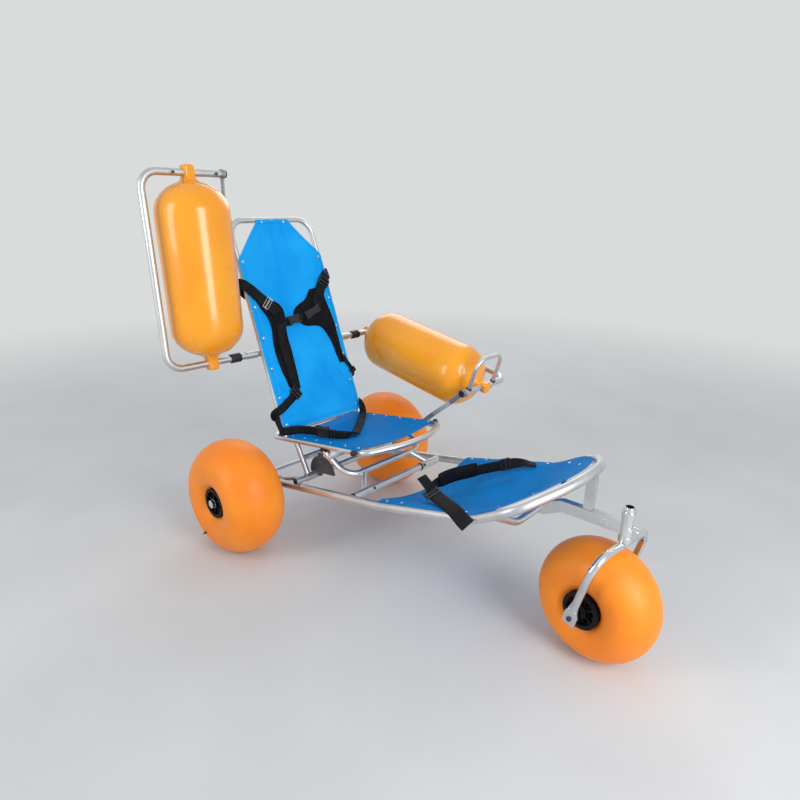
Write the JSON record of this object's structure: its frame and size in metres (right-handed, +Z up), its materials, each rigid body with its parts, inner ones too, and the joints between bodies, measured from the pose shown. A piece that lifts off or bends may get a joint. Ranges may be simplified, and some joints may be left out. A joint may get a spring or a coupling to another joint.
{
  "type": "floating beach wheelchair",
  "caption": "Reclined sling beach chair on balloon wheels with a castering front fork, swinging float arms that drop beside the rider, hand loops, harness and leg rest.",
  "frame": {"origin": "middle of the overall length and width, on the floor under the wheels", "axes": "+X forward towards the front wheel, +Y to the rider's left, +Z up"},
  "size_m": [1.9796, 1.3182, 1.5696],
  "materials": {
    "satin_tube": "satin anodised",
    "grey_metal": "matt grey",
    "dark_plate": "dark satin",
    "polished_steel": "polished stainless",
    "black_plastic": "moulded black",
    "hub_plastic": "moulded black",
    "orange_balloon": "smooth satin",
    "amber_float": "glossy rotomoulded",
    "snap_metal": "nickel",
    "back_cloth": "coated cloth",
    "seat_cloth": "coated cloth",
    "navy_webbing": "woven webbing"
  },
  "bodies": {
    "frame": {"right_rail": "satin_tube", "left_rail": "satin_tube", "leg_loop": "satin_tube", "rear_bar": "satin_tube", "rear_cross_tube": "satin_tube", "front_cross_tube": "satin_tube", "right_rear_brace": "grey_metal", "left_rear_brace": "grey_metal", "right_rear_leg": "satin_tube", "left_rear_leg": "satin_tube", "leg_brace": "satin_tube", "right_front_leg": "satin_tube", "left_front_leg": "satin_tube", "seat_bridge": "satin_tube", "quadrant_plate": "dark_plate", "seat_saddles": "black_plastic", "seat_frame": "satin_tube", "seat_bow": "satin_tube", "seat_knobs": "black_plastic", "strut_lugs": "satin_tube", "seat_sling": "seat_cloth", "snaps": "snap_metal", "back_frame": "satin_tube", "pivot_tube": "satin_tube", "back_sling": "back_cloth", "leg_sling": "seat_cloth", "boom_bow": "satin_tube", "boom": "satin_tube", "boom_strut": "satin_tube", "head_tube": "satin_tube", "boom_bolts": "polished_steel", "tow_eye": "polished_steel", "right_axle": "polished_steel", "left_axle": "polished_steel", "right_harness": "navy_webbing", "left_harness": "navy_webbing", "chest_buckle": "black_plastic", "lap_belt": "navy_webbing", "lap_buckle": "black_plastic", "calf_strap": "navy_webbing"},
    "right_wheel": {"right_tyre": "orange_balloon", "right_hub": "hub_plastic"},
    "left_wheel": {"left_tyre": "orange_balloon", "left_hub": "hub_plastic"},
    "caster_fork": {"fork": "polished_steel", "stem": "polished_steel", "stem_collar": "polished_steel", "front_axle": "polished_steel"},
    "front_wheel": {"front_tyre": "orange_balloon", "front_hub": "hub_plastic"},
    "right_float_arm": {"right_arm": "satin_tube", "right_arm_fittings": "black_plastic", "right_float": "amber_float", "right_hand_loop": "satin_tube"},
    "left_float_arm": {"left_arm": "satin_tube", "left_arm_fittings": "black_plastic", "left_float": "amber_float", "left_hand_loop": "satin_tube"},
    "right_arm_strut": {"right_strut": "grey_metal"},
    "left_arm_strut": {"left_strut": "grey_metal"}
  },
  "joints": [
    {"name": "right_wheel_spin", "type": "hinge", "parent": "frame", "child": "right_wheel", "pos_m": [-0.63833, -0.466, 0.245], "axis": [0, 1, 0], "continuous": true},
    {"name": "left_wheel_spin", "type": "hinge", "parent": "frame", "child": "left_wheel", "pos_m": [-0.63833, 0.466, 0.245], "axis": [0, 1, 0], "continuous": true},
    {"name": "caster_steer", "type": "hinge", "parent": "frame", "child": "caster_fork", "pos_m": [0.83967, 0, 0.5], "axis": [0, 0, 1], "continuous": true},
    {"name": "front_wheel_spin", "type": "hinge", "parent": "caster_fork", "child": "front_wheel", "pos_m": [0.78009, 0.0071, 0.21], "axis": [0.1184, 0.993, 0], "continuous": true},
    {"name": "right_arm_swing", "type": "hinge", "parent": "frame", "child": "right_float_arm", "pos_m": [-0.76124, -0.36, 0.80393], "axis": [0, 1, 0], "range_deg": [0, 105.5]},
    {"name": "left_arm_swing", "type": "hinge", "parent": "frame", "child": "left_float_arm", "pos_m": [-0.76124, 0.36, 0.80393], "axis": [0, 1, 0], "range_deg": [-105.5, 0]},
    {"name": "right_strut_fold", "type": "hinge", "parent": "right_float_arm", "child": "right_arm_strut", "pos_m": [-0.82419, -0.308, 1.53824], "axis": [0, 1, 0], "range_deg": [-57, 5]},
    {"name": "left_strut_fold", "type": "hinge", "parent": "left_float_arm", "child": "left_arm_strut", "pos_m": [-0.03682, 0.308, 0.66836], "axis": [0, 1, 0], "range_deg": [0, 57]}
  ]
}
